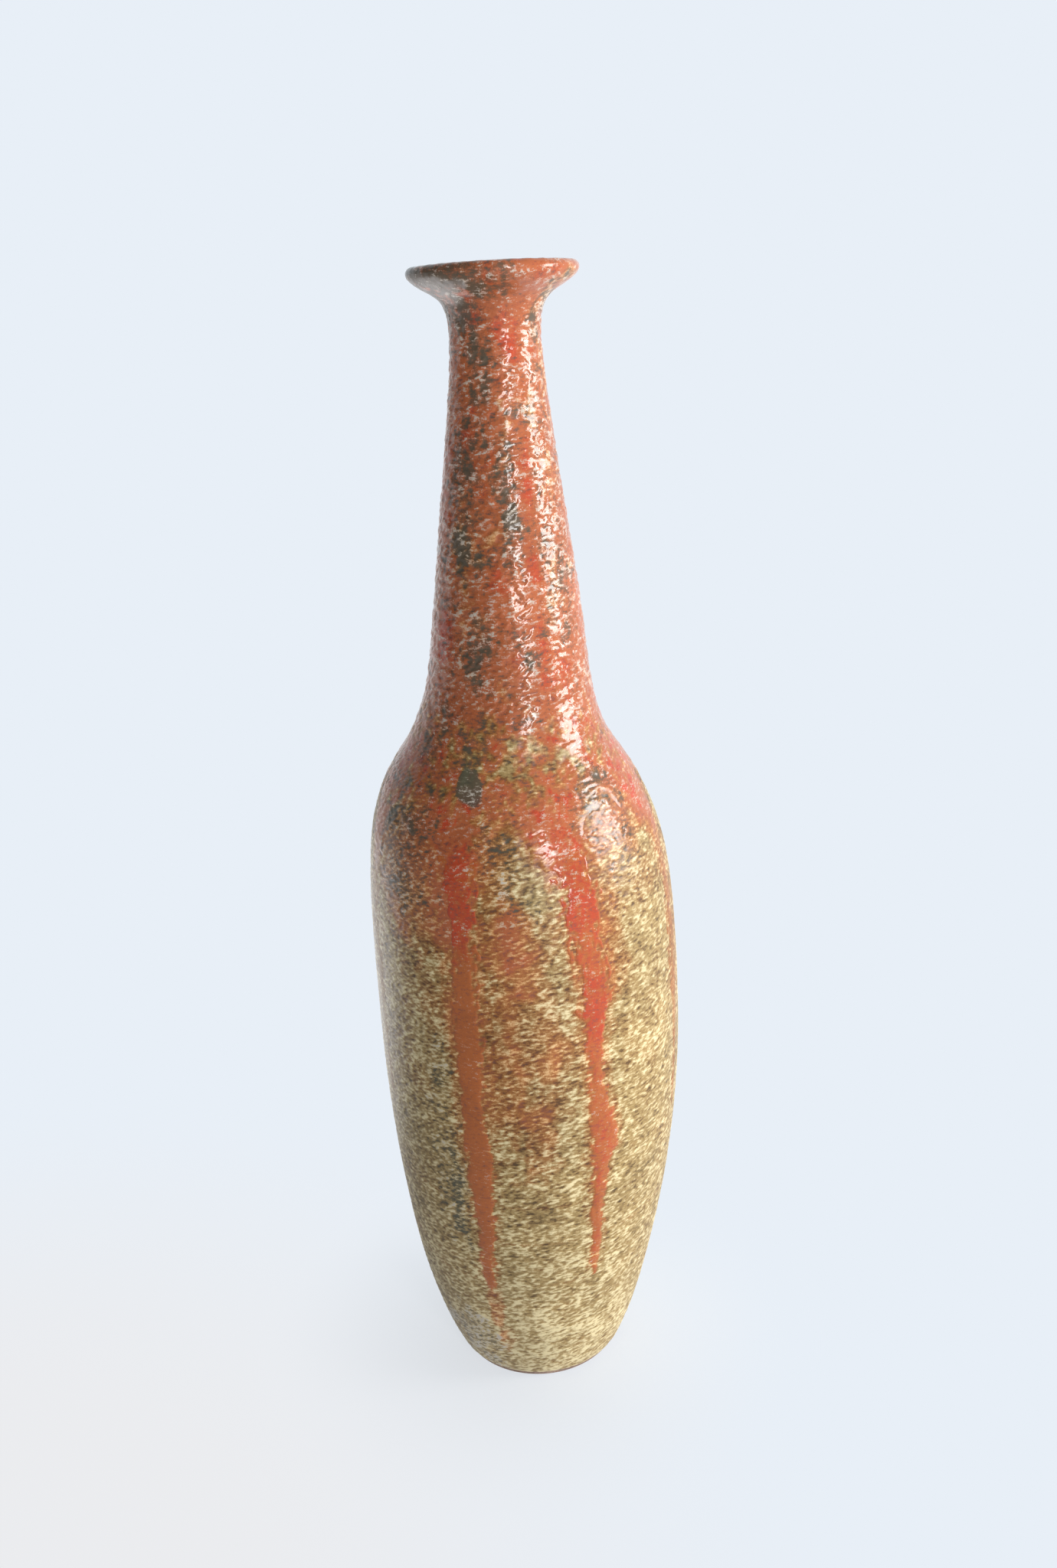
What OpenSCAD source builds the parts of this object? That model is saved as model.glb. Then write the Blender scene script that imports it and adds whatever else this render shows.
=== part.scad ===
// Tall wheel-thrown bottle vase. A full body and a long tapered neck are thrown apart
// and luted at the neck root, the outside carries a thick wrinkled base glaze, and a
// second glaze is poured over the neck and runs down the body. Millimetres, +Z up,
// the origin is the centre of the foot on the surface that the vase stands on.

/* [Foot] */
// Outside diameter of the standing ring on the table
foot_d = 57.4; // [48:0.2:66]
// Diameter of the clay where the glaze stops above the foot
glaze_line_d = 61.2; // [52:0.2:70]
// Height of the bare clay band at the foot
glaze_line_h = 4; // [2:0.5:10]
// Width of the standing ring
ring_w = 8; // [4:0.5:14]
// Depth of the hollow under the foot
recess_h = 3; // [1:0.5:6]
// Thickness of the floor
floor_t = 7; // [4:0.5:12]
// Height over which the floor rounds up into the wall inside
well_h = 24; // [16:1:40]
// Angle at which the wall leaves the foot, measured from upright
foot_lean = 35; // [15:1:50]

/* [Body] */
// Largest clay diameter
belly_d = 106.8; // [90:0.2:130]
// Height of the largest diameter above the table
belly_h = 142; // [120:1:170]
// Rise from the largest diameter to the steepest place of the shoulder
shoulder_rise = 103; // [85:1:125]
// Clay diameter at the steepest place of the shoulder
shoulder_d = 70.4; // [62:0.2:78]
// Inward lean of the shoulder there, measured from upright
shoulder_lean = 34; // [24:1:44]

/* [Neck] */
// Rise from the shoulder's steepest place to the root of the neck
root_rise = 28; // [20:1:36]
// Clay diameter at the root of the neck
root_d = 51.8; // [44:0.2:58]
// Inward lean of the neck at its root, measured from upright
neck_lean = 6.6; // [3:0.2:10]
// Length of the neck from its root to the throat
neck_len = 107; // [80:1:140]
// Clay diameter of the throat, the narrowest place
throat_d = 26.8; // [22:0.2:34]

/* [Lip] */
// Outside diameter of the clay lip
lip_d = 51.4; // [44:0.2:60]
// Height from the throat to the top of the glazed lip
lip_rise = 20; // [15:0.5:26]
// Rise of the lip's underside at its edge, measured from level
lip_flare = 50; // [35:1:60]

/* [Wall] */
// Thickness of the clay just above the floor
low_wall = 6.5; // [4:0.1:9]
// Thickness of the clay at the belly
belly_wall = 5.5; // [3.5:0.1:8]
// Thickness of the clay at the neck root
root_wall = 4; // [3:0.1:6]
// Thickness of the clay at the throat
throat_wall = 3.2; // [2:0.1:4.5]
// Thickness of the clay lip
lip_wall = 2.6; // [2:0.1:4]
// Height of the luted joint below the root of the neck
joint_drop = 11; // [5:0.5:18]
// Thickness of the slip that lutes the neck to the body
slip_t = 1.2; // [0.5:0.1:3]

/* [Glaze] */
// Thickness of the wrinkled glaze on the outside
base_t = 0.8; // [0.4:0.1:1.4]
// Thickness of the glaze on the inside
liner_t = 0.8; // [0.4:0.1:1.4]
// Thickness of the second glaze on the neck and shoulder
coat_t = 0.5; // [0.3:0.1:1]
// How far the second glaze comes down past the shoulder's steepest place
coat_drop = 28; // [14:1:44]
// How far the second glaze goes down inside the mouth
coat_wrap = 14; // [8:0.5:18]
// Width of a glaze run
run_w = 9.6; // [5:0.2:14]
// Thickness of a glaze run
run_t = 0.7; // [0.3:0.1:1.2]

/* [Hidden] */
$fn = 96;

// Heights of the stations, from the sizes above
shoulder_z = belly_h + shoulder_rise;
root_z = shoulder_z + root_rise;
throat_z = root_z + neck_len;
top_z = throat_z + lip_rise;
joint_z = root_z - joint_drop;
floor_z = recess_h + floor_t;
well_z = floor_z + well_h;
coat_z = shoulder_z - coat_drop;
wrap_z = top_z - coat_wrap;

// Bezier handles at the two ends of each stretch, as shares of the stretch's length
foot_handle_shares = [0.15, 0.37];
shoulder_handle_shares = [0.68, 0.25];
root_handle_shares = [0.37, 0.18];
neck_handle_shares = [0.50, 0.15];
lip_handle_shares = [0.65, 0.33];
floor_handle_shares = [0.60, 0.50];

// Straight pieces along each stretch, and round the lip
stretch_steps = 13;
lip_steps = 8;

// Azimuth of each run, turning from the front towards +X
run_azimuths = [-22, 24, 68, 113, 158, -157, -112, -67];
// Length of each run as a share of the height that the base glaze has below the coat
run_length_shares = [0.79, 0.755, 0.50, 0.66, 0.81, 0.58, 0.72, 0.46];
// Width of each run as a share of run_w
run_width_shares = [1.06, 0.84, 1.10, 0.90, 1.00, 0.86, 1.12, 0.94];
// Half outline of a run: share of its length going down, and share of its width
run_outline_shares = [[0, 0.84], [0.04, 0.62], [0.12, 0.52], [0.36, 0.50],
                      [0.60, 0.44], [0.84, 0.36]];
// Radius of a run's round tip as a share of its width
run_tip_share = 0.32;
tip_steps = 8;

// Direction that goes up while leaning towards the axis by a degrees
function leaning(a) = [-sin(a), cos(a)];

// Point at share t of a cubic Bezier stretch
function bezier_point(p, t) =
    pow(1 - t, 3) * p[0] + 3 * pow(1 - t, 2) * t * p[1]
    + 3 * (1 - t) * pow(t, 2) * p[2] + pow(t, 3) * p[3];

// Stretch from point a to point b that leaves and arrives in given directions.
// The last point is left to the next stretch.
function stretch(a, a_dir, b, b_dir, shares) =
    let(span = norm(b - a),
        p = [a, a + span * shares[0] * a_dir, b - span * shares[1] * b_dir, b])
    [for (i = [0:stretch_steps - 1]) bezier_point(p, i / stretch_steps)];

// Normal of a line at point i, on the right hand going along it
function normal_at(line, i) =
    let(before = i > 0 ? line[i - 1] : [-line[1].x, line[1].y],
        after = line[min(i + 1, len(line) - 1)],
        along = (after - before) / norm(after - before))
    [along.y, -along.x];

function reversed(line) = [for (i = [len(line) - 1:-1:0]) line[i]];

// Radius of a line at height z, and the parts of a rising line around given heights
function radius_at(line, z) = lookup(z, [for (p = line) [p.y, p.x]]);
function cut_at(line, z) = [[radius_at(line, z), z]];
function below(line, z) = concat([for (p = line) if (p.y < z) p], cut_at(line, z));
function above(line, z) = concat(cut_at(line, z), [for (p = line) if (p.y > z) p]);
function between(line, low, high) =
    concat(cut_at(line, low), [for (p = line) if (p.y > low && p.y < high) p], cut_at(line, high));

// Arc round the lip's own centre, from angle a to angle b above the level. The line
// before it ends where the arc starts, so the arc's first point is left out.
lip_centre = [lip_d / 2 - lip_wall / 2, top_z - coat_t - max(base_t, liner_t) - lip_wall / 2];
function lip_arc(r, a, b) =
    [for (i = [1:lip_steps]) let(t = a + (b - a) * i / lip_steps)
        lip_centre + r * [cos(t), sin(t)]];

// Outside of the clay, from the glaze line up to the edge of the lip
line_start = [glaze_line_d / 2, glaze_line_h];
belly_point = [belly_d / 2, belly_h];
shoulder_point = [shoulder_d / 2, shoulder_z];
root_point = [root_d / 2, root_z];
throat_point = [throat_d / 2, throat_z];
lip_point = lip_centre + lip_wall / 2 * [sin(lip_flare), -cos(lip_flare)];
outside = concat(
    stretch(line_start, leaning(-foot_lean), belly_point, leaning(0), foot_handle_shares),
    stretch(belly_point, leaning(0), shoulder_point, leaning(shoulder_lean), shoulder_handle_shares),
    stretch(shoulder_point, leaning(shoulder_lean), root_point, leaning(neck_lean),
            root_handle_shares),
    stretch(root_point, leaning(neck_lean), throat_point, leaning(0), neck_handle_shares),
    stretch(throat_point, leaning(0), lip_point, leaning(lip_flare - 90), lip_handle_shares),
    [lip_point]);

// The first normal is square to the wall as it leaves the foot
function outside_normal(i) =
    i == 0 ? [cos(foot_lean), -sin(foot_lean)]
    : i == len(outside) - 1 ? [sin(lip_flare), -cos(lip_flare)]
    : normal_at(outside, i);

// Clay thickness by height
function wall_at(z) =
    lookup(z, [[floor_z, low_wall], [belly_h, belly_wall], [root_z, root_wall],
               [throat_z, throat_wall], [lip_centre.y - lip_wall, lip_wall]]);

// Inside of the clay: the wall above the well, then down to the middle of the floor
inside_wall = [for (i = [0:len(outside) - 1]) if (outside[i].y >= well_z)
    outside[i] - wall_at(outside[i].y) * outside_normal(i)];
well_dir = (inside_wall[1] - inside_wall[0]) / norm(inside_wall[1] - inside_wall[0]);
inside = concat(
    stretch([0, floor_z], [1, 0], inside_wall[0], well_dir, floor_handle_shares),
    inside_wall);

// The glaze surfaces are these lines moved off along their normals
function outside_moved(d) = [for (i = [0:len(outside) - 1]) outside[i] + d * outside_normal(i)];
function inside_normal(i) =
    i == len(inside) - 1 ? [sin(lip_flare), -cos(lip_flare)] : normal_at(inside, i);
function inside_moved(d) = [for (i = [0:len(inside) - 1]) inside[i] - d * inside_normal(i)];

// Skin over the outside up to the top of the lip, and skin over the inside
function outer_skin(d) =
    concat(outside_moved(d), lip_arc(lip_wall / 2 + d, lip_flare - 90, 90));
function inner_skin(d) =
    concat(inside_moved(d), lip_arc(lip_wall / 2 + d, lip_flare + 90, 90));

module turned(points) {
    rotate_extrude()
        polygon(points);
}

module clay_body() {
    ring_r = foot_d / 2 - ring_w;
    color("#c8a48a")
        turned(concat(
            [[0, recess_h], [ring_r - recess_h, recess_h], [ring_r, 0], [foot_d / 2, 0]],
            below(outside, joint_z),
            reversed(below(inside, joint_z))));
}

module slip_joint() {
    color("#b98f74")
        turned(concat(
            between(outside, joint_z, joint_z + slip_t),
            reversed(between(inside, joint_z, joint_z + slip_t))));
}

module clay_neck() {
    color("#c8a48a")
        turned(concat(
            above(outer_skin(0), joint_z + slip_t),
            reversed(above(inner_skin(0), joint_z + slip_t))));
}

module liner_glaze() {
    color("#8f8a6c")
        turned(concat(inner_skin(0), reversed(inner_skin(liner_t))));
}

module base_glaze() {
    color("#b7ab82")
        turned(concat(outer_skin(0), reversed(outer_skin(base_t))));
}

module orange_coat() {
    color("#cf5420")
        turned(concat(
            above(outer_skin(base_t), coat_z),
            reversed(above(inner_skin(liner_t), wrap_z)),
            above(inner_skin(liner_t + coat_t), wrap_z),
            reversed(above(outer_skin(base_t + coat_t), coat_z))));
}

// Outline of a run, hanging down from the height of the coat's edge
module run_outline(length, width) {
    tip_r = width * run_tip_share;
    half = [for (s = run_outline_shares) [s[1] * width, coat_z - s[0] * length]];
    tip = [for (i = [0:tip_steps]) let(t = 180 * i / tip_steps)
        [tip_r * cos(t), coat_z - length + tip_r - tip_r * sin(t)]];
    polygon(concat(
        [for (i = [len(half) - 1:-1:0]) [-half[i].x, half[i].y]],
        half,
        tip));
}

module run(i) {
    length = (coat_z - glaze_line_h) * run_length_shares[i];
    low_z = coat_z - length - run_t;
    color("#c9481b")
        intersection() {
            turned(concat(
                between(outer_skin(base_t), low_z, coat_z),
                reversed(between(outer_skin(base_t + run_t), low_z, coat_z))));
            rotate([0, 0, run_azimuths[i]])
                rotate([90, 0, 0])
                    linear_extrude(height = belly_d)
                        run_outline(length, run_w * run_width_shares[i]);
        }
}

clay_body();
clay_neck();
slip_joint();
liner_glaze();
base_glaze();
orange_coat();
for (i = [0:len(run_azimuths) - 1])
    run(i);
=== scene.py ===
"""Bottle vase with a running glaze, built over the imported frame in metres.

Every skin of the pot is one formula. The clay's own surface is a line of radius and
height that goes up the outside, round the lip and down the inside. A skin is a stretch
of that line moved off along its normal by a thickness that changes with the angle and
the height, and turned about an axis that wanders a little, as on a thrown pot.
"""
from itertools import product

import bpy
import numpy as np
from bpy.props import FloatProperty, FloatVectorProperty, PointerProperty
from mathutils import Matrix, Vector


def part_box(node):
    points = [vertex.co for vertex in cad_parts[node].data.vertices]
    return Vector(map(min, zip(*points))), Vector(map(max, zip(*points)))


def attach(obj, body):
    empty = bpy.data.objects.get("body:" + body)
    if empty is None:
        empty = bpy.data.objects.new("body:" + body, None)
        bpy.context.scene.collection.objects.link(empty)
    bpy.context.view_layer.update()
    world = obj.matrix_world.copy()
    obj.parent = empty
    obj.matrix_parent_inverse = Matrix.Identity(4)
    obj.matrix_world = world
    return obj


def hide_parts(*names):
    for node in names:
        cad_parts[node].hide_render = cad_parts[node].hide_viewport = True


bl_info = {
    "name": "Bottle vase with a running glaze",
    "version": (1, 0, 0),
    "blender": (4, 5, 0),
    "location": "View3D > Sidebar > Vase",
    "description": "Builds a thrown bottle vase with a wrinkled glaze and a poured one",
    "category": "Add Mesh",
}

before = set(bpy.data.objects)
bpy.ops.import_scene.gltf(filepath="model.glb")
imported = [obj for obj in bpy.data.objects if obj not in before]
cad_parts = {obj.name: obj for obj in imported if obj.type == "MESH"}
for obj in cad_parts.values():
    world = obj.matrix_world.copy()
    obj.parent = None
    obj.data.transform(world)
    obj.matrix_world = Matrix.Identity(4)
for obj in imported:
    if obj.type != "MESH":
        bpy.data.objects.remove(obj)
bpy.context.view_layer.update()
MM = 0.001
BODY = "root"
RUN_NODES = [f"run_{i}" for i in range(1, 9)]

# Samples along each stretch of the wall's line, and round its lip
STRETCH_STEPS = 320
LIP_STEPS = 120
# Columns of the glazes in sight, of the other skins and of the clay, round the pot
COLUMNS = 600
HIDDEN_COLUMNS = 150
LINER_COLUMNS = 120
BODY_COLUMNS = 180
NECK_COLUMNS = 120
# Rows of each skin, up the wall
BODY_ROWS_OUT, BODY_ROWS_IN = 90, 110
NECK_ROWS = 200
SLIP_ROWS = 4
LINER_ROWS, LINER_BACK_ROWS = 220, 120
BASE_ROWS = 480
HIDDEN_ROWS = 130
COAT_ROWS = 520
# Spacing of a run's rows, and its columns on the outside and underneath
RUN_STEP = 0.5 * MM
RUN_COLUMNS, RUN_BACK_COLUMNS = 44, 10
# Bands of the two outer glazes, each with the rows of its way back along the wall
BASE_BANDS = {"base_glaze_foot": 24, "base_glaze_lower": 14, "base_glaze_belly": 14,
              "base_glaze_shoulder": 20}
COAT_BANDS = {"orange_coat_shoulder": 20, "orange_coat_root": 24, "orange_coat_neck": 16,
              "orange_coat_lip": 28}
# How far past the poured glaze's mean edge its skin goes down, the base glaze goes up
# in full detail, and a run goes up
COAT_OVERLAP = 22 * MM
BASE_OVERLAP = 24 * MM
RUN_OVERLAP = 12 * MM
# What a pole closes in the middle of the liner, along the floor
POLE_GAP = 0.8 * MM
# How far under the base glaze's pits the poured glaze fades out, and a run's underside
# is, and how far above the clay the underside of the poured glaze is
SUNK = 0.12 * MM
RUN_SUNK = 0.35 * MM
COAT_FLOOR = 0.12 * MM

# Places where the axis of the pot stands off its mean, as shares of the height, and by
# how many millimetres, towards +X
WANDER_SHARES = (0.0, 0.1, 0.2, 0.3, 0.4, 0.5, 0.61, 0.67, 0.85, 1.0)
WANDER_MM = (0.0, 0.0, 0.9, 1.4, 1.1, 0.0, -2.0, -0.7, 0.0, 0.15)

# Height in millimetres where the runs leave the poured glaze
RUN_TOP = 236
# The glaze runs that the front shows: height in millimetres, azimuth of the centre in
# degrees from the front towards +X, and half width in millimetres
FRONT_LEFT_RUN = (
    (236, -23, 7.5), (217, -22.5, 6.6), (200, -22, 4.8), (180, -22, 5.4),
    (150, -22.4, 5.6), (130, -22.5, 5.2), (110, -22, 5.6), (90, -22, 4.4),
    (78, -21.8, 3.4), (66, -22.2, 3.3), (57, -22.3, 2.6), (49, -22, 0.8),
)
FRONT_RIGHT_RUN = (
    (236, 15, 7.5), (225, 19, 7.0), (214, 22, 6.4), (200, 22.5, 6.4), (190, 23, 5.0),
    (178, 24.2, 5.8), (160, 23.4, 4.4), (145, 23.0, 3.2), (130, 24.2, 4.3),
    (113, 26, 5.3), (106, 24.6, 3.6), (95, 24.2, 2.9), (78, 24.4, 2.4),
    (67, 24.6, 2.0), (60, 25.2, 2.3), (56, 25.4, 0.8),
)
# How solidly a run covers: the usual, and the runs where it isn't
USUAL_STRENGTH = 0.95
RUN_STRENGTH = {"run_1": 0.86, "run_2": 1.02, "run_3": 0.40, "run_8": 0.22}
# The other runs: azimuth, height of the tip and half width
OTHER_RUNS = {
    "run_3": (71, 110, 4.2), "run_4": (113, 76, 4.4), "run_5": (158, 44, 4.8),
    "run_6": (-157, 93, 4.0), "run_7": (-112, 64, 5.3), "run_8": (-70, 119, 3.6),
}

# Soft spots: azimuth and height of the centre, half sizes in degrees and millimetres,
# and how much is added there. First, where the poured glaze is thicker or thinner
COVER_SPOTS = (
    (26, 276, 9, 22, 0.26), (24, 309, 9, 6, 0.22), (-52, 288, 14, 12, 0.20),
    (26, 340, 6, 14, 0.08), (12, 380, 22, 7, 0.16), (-10, 356, 7, 20, 0.12),
    (-33, 231, 14, 7, 0.2), (70, 214, 13, 16, 0.3), (-8, 303, 10, 10, 0.10),
    (4, 236, 30, 6, 0.10), (8, 259, 30, 5, -0.12), (-25, 256, 20, 6, -0.20),
    (12, 248, 34, 9, -0.38), (-8, 226, 14, 9, -0.22),
    (3, 332, 14, 20, -0.16), (-38, 364, 12, 9, -0.12), (-24, 288, 14, 12, -0.10),
    (56, 232, 18, 16, 0.12), (44, 226, 12, 7, 0.20), (36, 240, 16, 8, 0.14),
    (-50, 224, 18, 12, -0.12),
    (4, 212, 12, 9, -0.35), (-38, 322, 22, 16, -0.14), (64, 384, 24, 12, -0.20),
    (37, 330, 8, 46, -0.14),
)
# Where the two glazes turned moss green or slate, and one spot of painted shade by the foot
MOSS_AND_SHADE_SPOTS = (
    (-27, 367, 17, 12, 0.24), (-13, 366, 6, 9, 0.14), (2, 337, 13, 14, 0.38),
    (8, 319, 11, 10, 0.34), (-40, 334, 22, 22, 0.24), (-30, 312, 18, 8, 0.18),
    (-24, 284, 13, 10, 0.34), (14, 284, 12, 8, 0.20), (38, 320, 7, 36, 0.10),
    (-52, 256, 12, 12, 0.14), (10, 262, 9, 6, 0.20), (-20, 258, 18, 5, 0.18),
    (30, 250, 12, 9, -0.22), (44, 238, 14, 8, 0.12), (-74, 395, 16, 10, 0.46),
    (-52, 388, 34, 9, 0.32), (-20, 396, 46, 6, 0.32), (64, 386, 22, 9, 0.30),
    (180, 388, 100, 10, 0.06), (-8, 386, 34, 8, 0.10), (-48, 218, 20, 20, 0.30),
    (-58, 240, 13, 14, 0.06), (-36, 348, 14, 10, 0.12), (-54, 200, 22, 22, 0.16),
    (-31, 88, 5, 24, 0.24), (-36, 112, 8, 50, 0.27), (42, 230, 16, 14, 0.30),
    (48, 212, 12, 12, 0.20),
    # The spot at -38 degrees and 20 mm is painted shade, the foot's contact shadow on its left
    (-44, 150, 12, 20, 0.10), (-36, 176, 8, 16, -0.12), (-38, 20, 20, 16, 0.42),
    (-8, 222, 12, 10, 0.30), (0, 206, 12, 7, 0.24), (50, 330, 26, 60, 0.22),
)
# Where a run is thicker and turns scarlet, or thinner
RUN_SPOTS = (
    (-23, 206, 10, 20, 0.24), (23, 170, 9, 16, 0.18), (20, 208, 12, 10, 0.10),
    (-22, 120, 6, 16, -0.06), (25, 112, 8, 10, 0.06),
)
# Where a thin wash of the poured glaze stains the body
WASH_SPOTS = (
    (-7, 196, 10, 12, 0.26), (0, 184, 8, 8, 0.24), (-9, 168, 9, 14, 0.14),
    (3, 150, 8, 10, 0.18), (1, 118, 7, 22, 0.22), (0, 160, 14, 60, 0.14),
    (78, 190, 9, 44, 0.22),
    (-21, 38, 5, 16, 0.4), (-18, 24, 7, 10, 0.26), (-10, 138, 8, 26, 0.14),
    (34, 190, 6, 20, 0.14), (10, 210, 8, 6, -0.2), (40, 226, 12, 8, 0.10),
    (-46, 210, 26, 24, 0.40), (-27, 150, 6, 60, 0.10), (52, 210, 16, 12, 0.16),
    (44, 227, 18, 12, 0.30),
)


def smoothstep(low, high, x):
    """0 below low, 1 above high, and 3t^2 - 2t^3 between."""
    t = np.clip((x - low) / (high - low), 0.0, 1.0)
    return t * t * (3.0 - 2.0 * t)


def smooth_curve(x, places, values):
    """Cubic Hermite curve through the values, with the slope of the chord at each."""
    places, values = np.asarray(places, float), np.asarray(values, float)
    slopes = np.gradient(values, places)
    i = np.clip(np.searchsorted(places, x, side="right") - 1, 0, len(places) - 2)
    span = places[i + 1] - places[i]
    t = np.clip((x - places[i]) / span, 0.0, 1.0)
    return (
        (2 * t**3 - 3 * t**2 + 1) * values[i]
        + (t**3 - 2 * t**2 + t) * span * slopes[i]
        + (3 * t**2 - 2 * t**3) * values[i + 1]
        + (t**3 - t**2) * span * slopes[i + 1]
    )


class Noise:
    """Gradient noise on a unit lattice, for arrays of points, from about -1 to 1."""

    def __init__(self, seed):
        draw = np.random.default_rng(seed)
        self.order = np.tile(draw.permutation(256), 2)
        ways = draw.normal(size=(256, 3))
        self.ways = ways / np.linalg.norm(ways, axis=1)[:, None]

    def __call__(self, points):
        """Sum over the 8 corners of a point's cell of gradient . offset, faded by
        6t^5 - 15t^4 + 10t^3 along each axis."""
        cell = np.floor(points).astype(int)
        offset = points - cell
        fade = offset**3 * (offset * (offset * 6.0 - 15.0) + 10.0)
        cell &= 255
        total = np.zeros(points.shape[:-1])
        for corner in product((0, 1), repeat=3):
            at = (cell + corner) & 255
            key = self.order[self.order[self.order[at[..., 0]] + at[..., 1]] + at[..., 2]]
            pull = ((offset - corner) * self.ways[key]).sum(-1)
            share = np.where(np.array(corner) == 1, fade, 1.0 - fade).prod(-1)
            total += pull * share
        return total * 1.7


def number(name, description, default, **kind):
    """Plain number that a user can change."""
    return FloatProperty(name=name, description=description, default=default, **kind)


def length(name, description, default):
    """Length in metres."""
    return number(name, description, default, unit="LENGTH")


def angle(name, description, degrees):
    """Angle, given in degrees and held in radians."""
    return number(name, description, np.radians(degrees), subtype="ANGLE")


def colour(name, description, *shades):
    """Colour of three linear shades."""
    return FloatVectorProperty(
        name=name, description=description, default=shades, subtype="COLOR")


class VaseForm(bpy.types.PropertyGroup):
    """Sizes of the thrown and turned clay."""

    foot_d: length("Foot", "Outside diameter of the standing ring", 60.0 * MM)
    glaze_line_d: length("Glaze line", "Clay diameter where the glaze stops", 61.8 * MM)
    glaze_line_h: length("Glaze line height", "Height of the bare band at the foot", 2.5 * MM)
    ring_w: length("Ring width", "Width of the standing ring", 8.0 * MM)
    recess_h: length("Recess", "Depth of the hollow under the foot", 3.0 * MM)
    floor_z: length("Floor", "Height of the clay floor inside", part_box("liner_glaze")[0].z)
    well_h: length("Well", "Height over which the floor rounds into the wall", 24.0 * MM)
    foot_lean: angle("Foot lean", "Angle of the wall at the foot, from upright", 26.0)
    belly_d: length("Belly", "Largest clay diameter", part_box("clay_body")[1].x * 2.0)
    belly_h: length("Belly height", "Height of the largest diameter", 142.0 * MM)
    shoulder_d: length("Shoulder", "Clay diameter where the shoulder is steepest", 70.4 * MM)
    shoulder_z: length("Shoulder height", "Height of that place", 245.0 * MM)
    shoulder_lean: angle("Shoulder lean", "Inward lean there, from upright", 34.0)
    root_d: length("Neck root", "Clay diameter at the root of the neck", 51.8 * MM)
    root_z: length("Neck root height", "Height of the root of the neck", 273.0 * MM)
    neck_lean: angle("Neck lean", "Inward lean of the neck at its root", 6.6)
    throat_d: length("Throat", "Clay diameter of the narrowest place", 26.8 * MM)
    throat_z: length("Throat height", "Height of the throat", 380.0 * MM)
    lip_d: length("Lip", "Outside diameter of the clay lip", 51.4 * MM)
    lip_flare: angle("Lip flare", "Rise of the lip's underside, from level", 50.0)
    top_z: length("Height", "Height of the glazed lip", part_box("orange_coat")[1].z)
    low_wall: length("Low wall", "Clay thickness above the floor", 6.5 * MM)
    belly_wall: length("Belly wall", "Clay thickness at the belly", 5.5 * MM)
    root_wall: length("Root wall", "Clay thickness at the neck root", 4.0 * MM)
    throat_wall: length("Throat wall", "Clay thickness at the throat", 3.2 * MM)
    lip_wall: length("Lip wall", "Thickness of the clay lip", 2.6 * MM)
    joint_low: length(
        "Joint", "Height of the joint between body and neck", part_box("slip_joint")[0].z)
    joint_high: length("Joint top", "Height of the top of the slip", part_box("slip_joint")[1].z)
    lip_wave: length("Lip wave", "Scale of the warp that lifts the lip at the front", 0.9 * MM)
    out_of_round: length("Out of round", "How far the belly is off a circle", 0.15 * MM)


class VaseGlaze(bpy.types.PropertyGroup):
    """Thicknesses, relief and colours of the glazes."""

    base_t: length("Base glaze", "Thickness of the wrinkled glaze", 0.8 * MM)
    liner_t: length("Liner glaze", "Thickness of the glaze inside", 0.8 * MM)
    coat_t: length("Second glaze", "Thickness of the poured glaze", 0.5 * MM)
    run_t: length("Run", "Thickness of a run", 0.35 * MM)
    coat_z: length(
        "Coat edge", "Mean height of the poured glaze's edge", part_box("orange_coat")[0].z)
    coat_wrap: length("Coat wrap", "How far the poured glaze goes into the mouth", 14.0 * MM)
    relief: length("Relief", "Depth of the wrinkles", 0.28 * MM)
    ring: length("Rings", "Half depth of the throwing rings under the glaze", 0.17 * MM)
    wrinkle_w: length("Wrinkle width", "Lattice size of the wrinkles, round the pot", 2.5 * MM)
    wrinkle_h: length("Wrinkle height", "Lattice size of the wrinkles, up the pot", 1.05 * MM)
    wrinkle_tilt: number("Wrinkle tilt", "Rise of the wrinkles over their length", 0.22)
    wrinkle_dip: number("Wrinkle dip", "Fall of the wrinkles from front to back", 0.32)
    pebble: length("Pebble", "Depth of the hammered surface of the poured glaze", 0.34 * MM)
    pit: colour("Pits", "Olive brown in the pits of the base glaze", 0.118, 0.077, 0.027)
    ground: colour("Ground", "Tan between pits and crests", 0.415, 0.277, 0.102)
    crest: colour("Crests", "Cream on the crests of the base glaze", 0.90, 0.76, 0.44)
    wash: colour("Wash", "Tint that a thin poured glaze gives the base", 0.96, 0.56, 0.37)
    ember: colour("Ember", "Red brown in the pits of the poured glaze", 0.26, 0.092, 0.062)
    orange: colour("Orange", "Body of the poured glaze", 0.51, 0.142, 0.052)
    run_orange: colour("Run orange", "Body of the poured glaze in a run", 0.50, 0.142, 0.037)
    scarlet: colour("Scarlet", "Where the poured glaze is thickest", 0.57, 0.073, 0.026)
    # Flame is partly the glaze's pale crests and partly a painted highlight, a whitish sheen on
    # them
    flame: colour("Flame", "Crests of the poured glaze", 0.66, 0.46, 0.375)
    # Moss also paints shade, on the left side and by the left of the foot
    moss: colour("Moss", "Dark green where the glazes reacted", 0.088, 0.096, 0.068)
    # Lichen is partly the grey green crests and partly painted glints on them
    lichen: colour("Lichen", "Grey green crests in those places", 0.62, 0.56, 0.47)
    clay: colour("Clay", "Bare fired clay of the foot", 0.52, 0.36, 0.28)


def leaning(lean):
    """Direction in the plane of radius and height that goes up, leaning to the axis."""
    return np.array([-np.sin(lean), np.cos(lean)])


def stretch(start, start_dir, end, end_dir, shares):
    """Cubic Bezier from start to end without its last point. Its handles are the given
    shares of the distance, along the directions in which it leaves and arrives."""
    t = np.linspace(0.0, 1.0, STRETCH_STEPS, endpoint=False)[:, None]
    span = np.linalg.norm(end - start)
    near = start + span * shares[0] * start_dir
    far = end - span * shares[1] * end_dir
    return (
        (1 - t) ** 3 * start + 3 * (1 - t) ** 2 * t * near
        + 3 * (1 - t) * t**2 * far + t**3 * end
    )


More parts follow.
